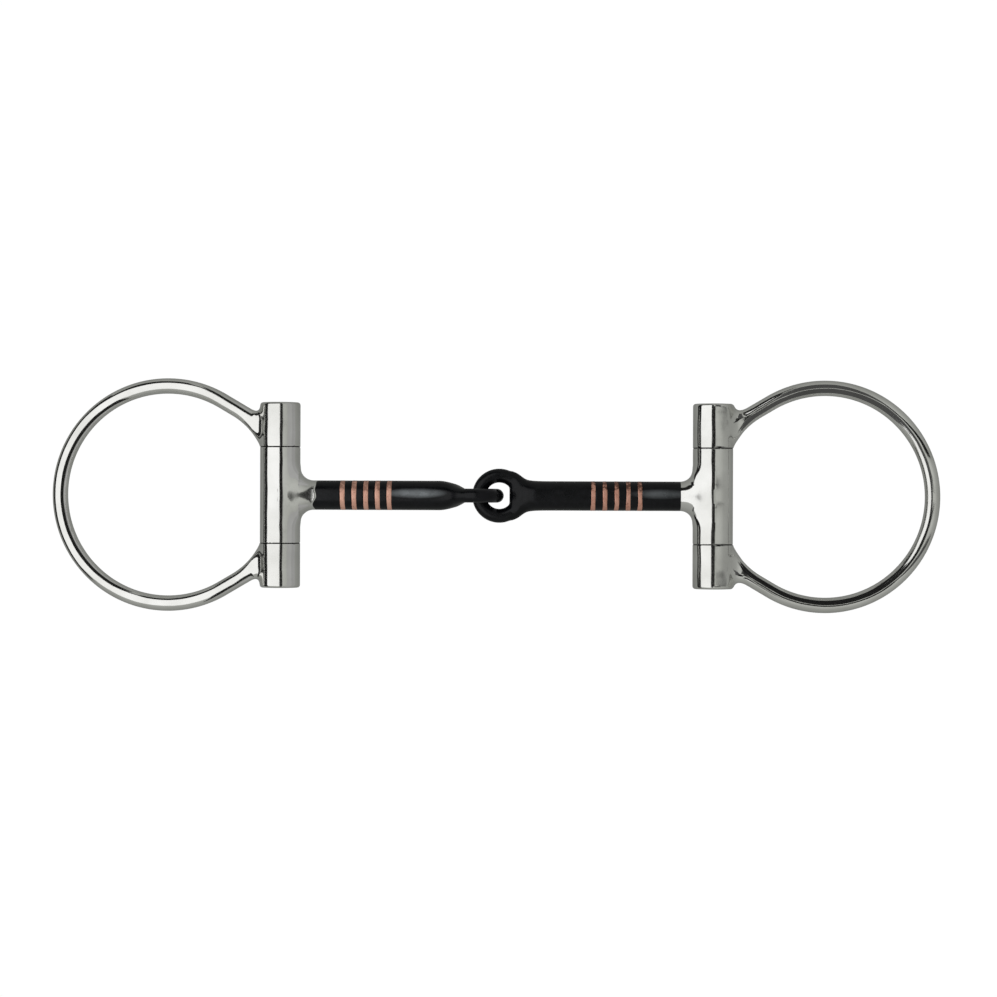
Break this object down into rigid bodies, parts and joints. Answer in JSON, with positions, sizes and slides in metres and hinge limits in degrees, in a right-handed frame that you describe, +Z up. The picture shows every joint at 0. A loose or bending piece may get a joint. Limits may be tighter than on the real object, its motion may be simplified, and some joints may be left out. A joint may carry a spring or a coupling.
{
  "type": "snaffle bit",
  "caption": "Dee-ring snaffle bit: two round steel dees hinged on barrels to a jointed mouthpiece of two linked blued-iron bars with flush copper bands.",
  "frame": {"origin": "centre of the bounding box at the table that the bit lies on", "axes": "+X along the mouthpiece from the left cheek to the right one, +Y along the hinge pins, +Z up from the table"},
  "size_m": [0.2884, 0.0754, 0.0175],
  "materials": {
    "dee_steel": "polished",
    "tee_steel": "polished",
    "pin_steel": "polished",
    "blued_iron": "satin",
    "copper": "satin"
  },
  "bodies": {
    "left_mouthpiece": {"left_cannon": "blued_iron", "left_tee": "tee_steel", "left_copper_band_1": "copper", "left_copper_band_2": "copper", "left_copper_band_3": "copper", "left_copper_band_4": "copper", "left_copper_band_5": "copper"},
    "right_mouthpiece": {"right_cannon": "blued_iron", "right_tee": "tee_steel", "right_copper_band_1": "copper", "right_copper_band_2": "copper", "right_copper_band_3": "copper", "right_copper_band_4": "copper", "right_copper_band_5": "copper"},
    "left_cheek": {"left_dee": "dee_steel", "left_hinge_pin": "pin_steel"},
    "right_cheek": {"right_dee": "dee_steel", "right_hinge_pin": "pin_steel"}
  },
  "joints": [
    {"name": "centre_link", "type": "hinge", "parent": "left_mouthpiece", "child": "right_mouthpiece", "pos_m": [-0.0056, 0, 0.00725], "axis": [0, -1, 0], "range_deg": [-60, 60]},
    {"name": "left_dee_swing", "type": "hinge", "parent": "left_mouthpiece", "child": "left_cheek", "pos_m": [-0.07, 0, 0.0065], "axis": [0, 1, 0], "range_deg": [-110, 110]},
    {"name": "right_dee_swing", "type": "hinge", "parent": "right_mouthpiece", "child": "right_cheek", "pos_m": [0.07, 0, 0.0065], "axis": [0, -1, 0], "range_deg": [-110, 110]}
  ]
}
